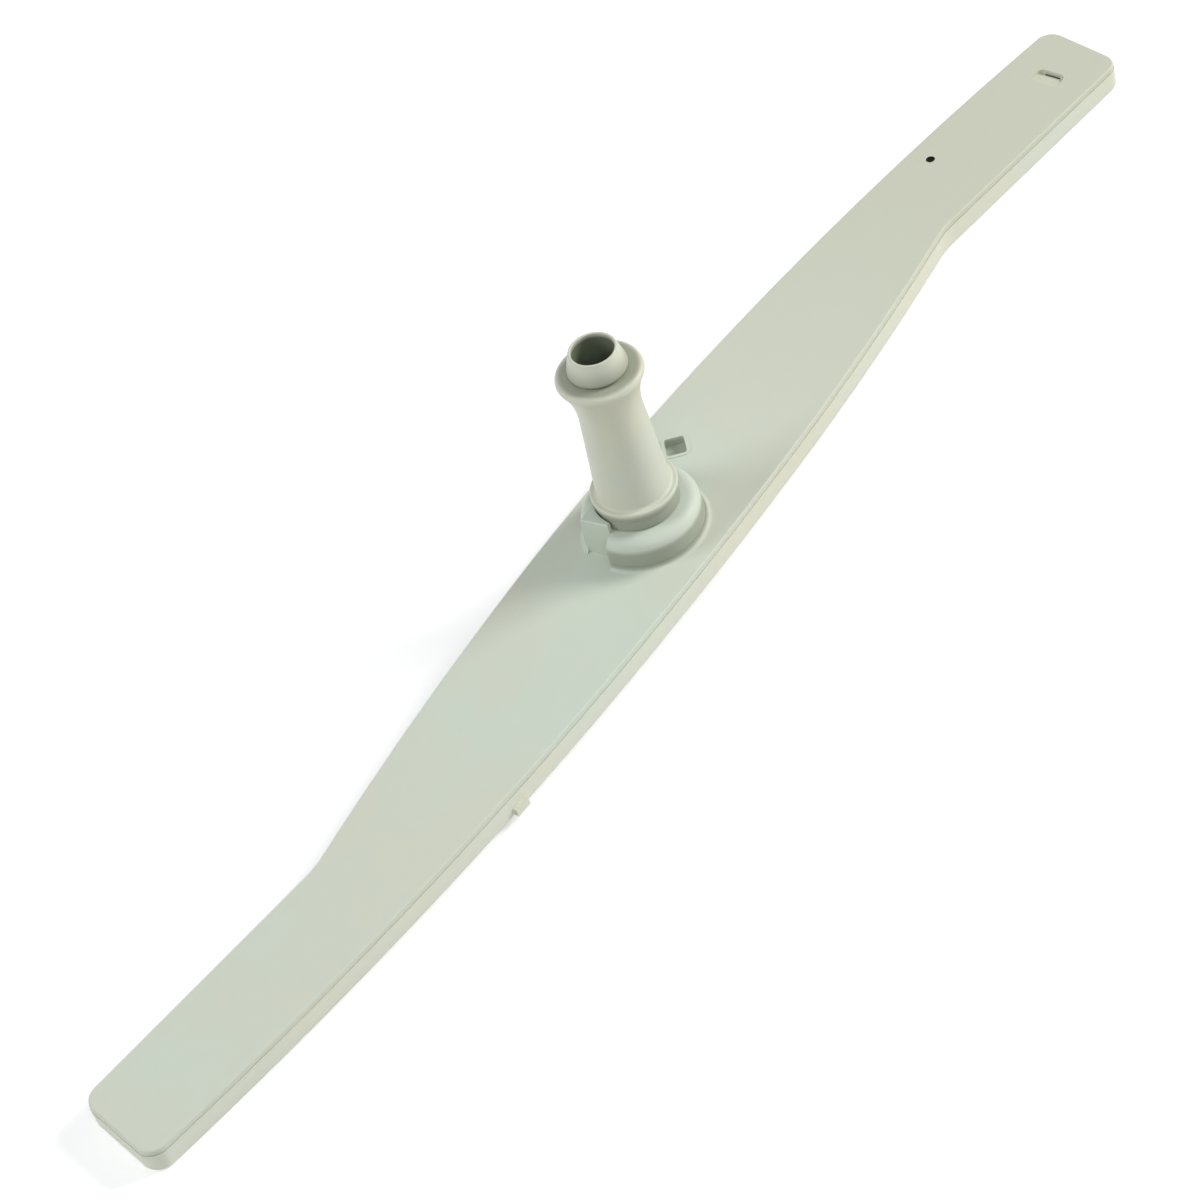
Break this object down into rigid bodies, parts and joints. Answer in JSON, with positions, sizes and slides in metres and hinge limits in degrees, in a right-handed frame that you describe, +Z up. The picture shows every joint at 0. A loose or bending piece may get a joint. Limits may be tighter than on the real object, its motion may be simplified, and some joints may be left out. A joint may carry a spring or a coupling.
{
  "type": "dishwasher spray arm",
  "caption": "Flat S-shaped hollow plastic spray arm with a tall tapered feed neck that snaps into a collar at its middle; the arm spins freely on the neck.",
  "frame": {"origin": "on the surface that the wing tips rest on, below the neck's axis, which is the middle of the arm", "axes": "+Z up along the feed neck, +X along the arm towards the wing with the fan jet, +Y across the arm"},
  "size_m": [0.464, 0.0528, 0.0808],
  "materials": {
    "arm_plastic": "fine satin moulding, pale grey-green",
    "neck_plastic": "satin moulding, pale grey-green"
  },
  "bodies": {
    "arm": {"arm_cover": "arm_plastic", "jet_trough": "arm_plastic"},
    "neck": {"feed_neck": "neck_plastic"}
  },
  "joints": [
    {"name": "neck_spin", "type": "hinge", "parent": "arm", "child": "neck", "pos_m": [0, 0, 0.0216], "axis": [0, 0, 1], "continuous": true}
  ]
}
